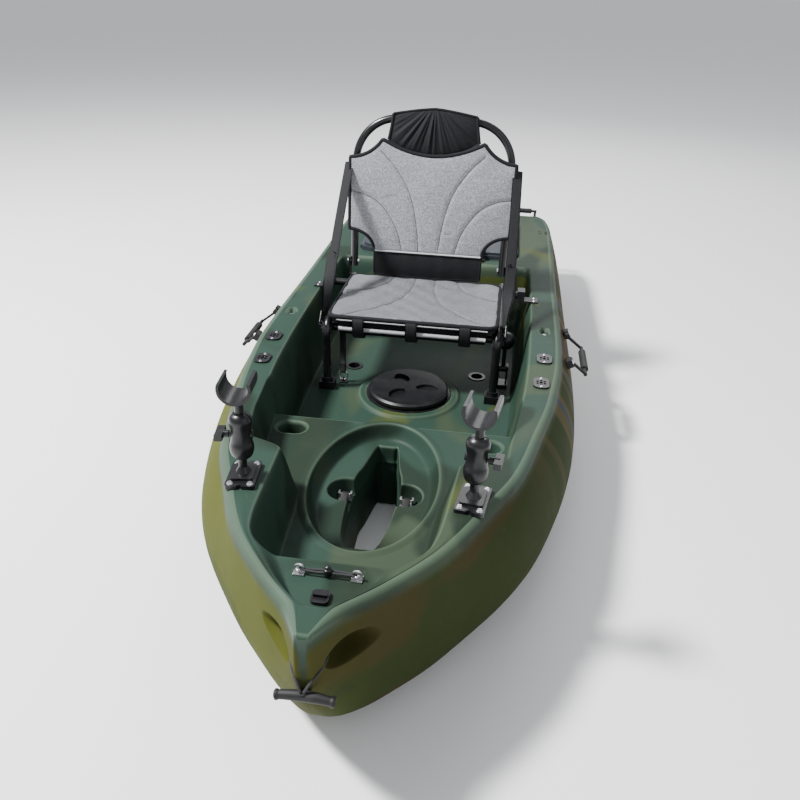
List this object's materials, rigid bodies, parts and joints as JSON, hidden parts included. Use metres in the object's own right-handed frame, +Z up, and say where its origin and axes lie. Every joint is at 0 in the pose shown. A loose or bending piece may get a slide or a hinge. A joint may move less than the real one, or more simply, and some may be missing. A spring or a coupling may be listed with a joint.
{
  "type": "pedal boat",
  "caption": "short rotomoulded sit-on-top pedal fishing kayak with a folding mesh seat, drive well, round screw hatch, lidded stern tub, swivelling rod holders, carry handles and rudder",
  "frame": {"origin": "underside of the keel skid, on the centre line at half the hull's length", "axes": "+Y from the bow to the stern, +Z up, +X to the right when looking along +Y from the bow towards the stern"},
  "size_m": [0.9708, 2.594, 0.8114],
  "materials": {
    "anodised_plate": "black anodised bracket plate",
    "black_plastic": "moulded black nylon",
    "cord": "black braided cord",
    "hull_plastic": "rotomoulded polyethylene in a camouflage mix",
    "lid_plastic": "dark grey-blue moulded lid",
    "seat_mesh": "woven silver-grey sling mesh",
    "black_fabric": "black padded nylon",
    "black_rubber": "moulded black rubber",
    "screw_steel": "stainless steel",
    "frame_tube": "black powder-coated aluminium tube",
    "webbing": "black woven webbing"
  },
  "bodies": {
    "hull": {"hull": "hull_plastic", "scupper_liners": "black_plastic", "hatch_ring": "black_plastic", "rear_gasket": "black_rubber", "rear_hinges": "black_plastic", "rail_plates": "black_plastic", "rail_screws": "screw_steel", "stern_inserts": "black_plastic", "foot_blocks": "black_plastic", "side_brackets": "anodised_plate", "bracket_screws": "screw_steel", "rod_base_l": "black_plastic", "rod_base_r": "black_plastic", "rod_screws": "screw_steel", "pull_posts": "screw_steel", "handle_pads": "black_rubber", "handle_screws": "screw_steel", "bungee_cord": "cord", "bungee_eyes": "screw_steel", "seat_frame": "frame_tube", "back_bolts": "screw_steel", "seat_pan": "seat_mesh", "pan_front": "black_fabric", "strap_buckles": "black_plastic", "hold_strap": "webbing", "steer_base": "black_plastic", "rudder_bracket": "black_plastic", "rudder_pins": "screw_steel", "side_strap_l": "webbing", "side_strap_r": "webbing"},
    "hatch_seal": {"hatch_seal": "black_rubber"},
    "hatch_lid": {"hatch_lid": "black_plastic"},
    "rear_lid": {"rear_lid": "lid_plastic"},
    "rear_latch_l": {"rear_latch_l": "black_rubber"},
    "rear_latch_r": {"rear_latch_r": "black_rubber"},
    "drain_plug": {"drain_plug": "black_plastic"},
    "rod_arm_l": {"rod_arm_l": "black_plastic"},
    "rod_knob_l": {"rod_knob_l": "black_plastic"},
    "rod_cradle_l": {"rod_cradle_l": "black_plastic"},
    "rod_arm_r": {"rod_arm_r": "black_plastic"},
    "rod_knob_r": {"rod_knob_r": "black_plastic"},
    "rod_cradle_r": {"rod_cradle_r": "black_plastic"},
    "pull_l": {"pull_l": "black_rubber", "pull_hooks_l": "screw_steel"},
    "pull_r": {"pull_r": "black_rubber", "pull_hooks_r": "screw_steel"},
    "handle_l": {"handle_l": "black_rubber"},
    "handle_r": {"handle_r": "black_rubber"},
    "stern_handle_l": {"stern_handle_l": "black_rubber"},
    "stern_handle_r": {"stern_handle_r": "black_rubber"},
    "bow_handle": {"bow_cord": "cord", "bow_toggle": "black_plastic"},
    "cord_lock": {"cord_lock": "black_plastic"},
    "seat_back": {"back_frame": "frame_tube", "back_pad": "seat_mesh", "head_panel": "black_fabric", "lumbar_band": "black_fabric"},
    "steer_lever": {"steer_lever": "black_plastic"},
    "rudder_head": {"rudder_head": "black_plastic"},
    "rudder_blade": {"rudder_blade": "black_plastic"}
  },
  "joints": [
    {"name": "hatch_lift", "type": "slide", "parent": "hull", "child": "hatch_seal", "axis": [0, 0, 1], "range_m": [0, 0.12]},
    {"name": "hatch_turn", "type": "hinge", "parent": "hatch_seal", "child": "hatch_lid", "pos_m": [0, -0.0876, 0.12004], "axis": [0, 0, 1], "range_deg": [0, 180]},
    {"name": "rear_lid_open", "type": "hinge", "parent": "hull", "child": "rear_lid", "pos_m": [0, 1.091, 0.298], "axis": [-1, 0, 0], "range_deg": [0, 100]},
    {"name": "rear_latch_l_open", "type": "hinge", "parent": "rear_lid", "child": "rear_latch_l", "pos_m": [-0.1512, 0.629, 0.3133], "axis": [-1, 0, 0], "range_deg": [0, 100]},
    {"name": "rear_latch_r_open", "type": "hinge", "parent": "rear_lid", "child": "rear_latch_r", "pos_m": [0.1512, 0.629, 0.3133], "axis": [-1, 0, 0], "range_deg": [0, 100]},
    {"name": "drain_plug_turn", "type": "hinge", "parent": "hull", "child": "drain_plug", "pos_m": [0, -1.1004, 0.308], "axis": [0, 0, 1], "range_deg": [0, 90]},
    {"name": "rod_arm_l_tilt", "type": "hinge", "parent": "hull", "child": "rod_arm_l", "pos_m": [-0.21212, -0.82359, 0.3751], "axis": [0.9903, 0.1392, 0], "range_deg": [-30, 30]},
    {"name": "rod_knob_l_turn", "type": "hinge", "parent": "rod_arm_l", "child": "rod_knob_l", "pos_m": [-0.2124, -0.8216, 0.40302], "axis": [-0.9903, -0.1392, 0], "continuous": true},
    {"name": "rod_cradle_l_swivel", "type": "hinge", "parent": "rod_arm_l", "child": "rod_cradle_l", "pos_m": [-0.21268, -0.81961, 0.43095], "axis": [-0.01, 0.0711, 0.9974], "range_deg": [-180, 180]},
    {"name": "drive_latch_l_lift", "type": "hinge", "parent": "hull", "child": "pull_l", "pos_m": [-0.068, -0.614, 0.136], "axis": [-1, 0, 0], "range_deg": [0, 80]},
    {"name": "rod_arm_r_tilt", "type": "hinge", "parent": "hull", "child": "rod_arm_r", "pos_m": [0.21212, -0.82359, 0.3751], "axis": [0.9903, -0.1392, 0], "range_deg": [-30, 30]},
    {"name": "rod_knob_r_turn", "type": "hinge", "parent": "rod_arm_r", "child": "rod_knob_r", "pos_m": [0.2124, -0.8216, 0.40302], "axis": [0.9903, -0.1392, 0], "continuous": true},
    {"name": "rod_cradle_r_swivel", "type": "hinge", "parent": "rod_arm_r", "child": "rod_cradle_r", "pos_m": [0.21268, -0.81961, 0.43095], "axis": [0.01, 0.0711, 0.9974], "range_deg": [-180, 180]},
    {"name": "drive_latch_r_lift", "type": "hinge", "parent": "hull", "child": "pull_r", "pos_m": [0.068, -0.614, 0.136], "axis": [-1, 0, 0], "range_deg": [0, 80]},
    {"name": "side_handle_l_swing", "type": "hinge", "parent": "hull", "child": "handle_l", "pos_m": [-0.42969, 0.006, 0.24877], "axis": [0, 1, 0], "range_deg": [-12, 70]},
    {"name": "stern_handle_l_swing", "type": "hinge", "parent": "hull", "child": "stern_handle_l", "pos_m": [-0.279, 1.211, 0.246], "axis": [1, 0, 0], "range_deg": [-100, 10]},
    {"name": "side_handle_r_swing", "type": "hinge", "parent": "hull", "child": "handle_r", "pos_m": [0.42969, 0.006, 0.24877], "axis": [0, -1, 0], "range_deg": [-12, 70]},
    {"name": "stern_handle_r_swing", "type": "hinge", "parent": "hull", "child": "stern_handle_r", "pos_m": [0.279, 1.211, 0.246], "axis": [1, 0, 0], "range_deg": [-100, 10]},
    {"name": "bow_handle_swing", "type": "hinge", "parent": "hull", "child": "bow_handle", "pos_m": [0, -1.1604, 0.26505], "axis": [-1, 0, 0], "range_deg": [0, 45]},
    {"name": "cord_lock_slide", "type": "slide", "parent": "hull", "child": "cord_lock", "axis": [1, 0, 0], "range_m": [-0.03, 0.03]},
    {"name": "seat_back_fold", "type": "hinge", "parent": "hull", "child": "seat_back", "pos_m": [0, 0.282, 0.358], "axis": [1, 0, 0], "range_deg": [-8, 92], "deforming": ["side_strap_l", "side_strap_r"]},
    {"name": "steering_turn", "type": "hinge", "parent": "hull", "child": "steer_lever", "pos_m": [0.2575, 0.024, 0.158], "axis": [1, 0, 0], "range_deg": [-30, 30]},
    {"name": "rudder_turn", "type": "hinge", "parent": "hull", "child": "rudder_head", "pos_m": [0, 1.234, 0.1405], "axis": [0, 0, 1], "range_deg": [-30, 30]},
    {"name": "rudder_kick_up", "type": "hinge", "parent": "rudder_head", "child": "rudder_blade", "pos_m": [0, 1.278, 0.1405], "axis": [1, 0, 0], "range_deg": [0, 75]}
  ],
  "couplings": [
    {"joint": "rudder_turn", "follows": "steering_turn", "ratio": 1}
  ]
}
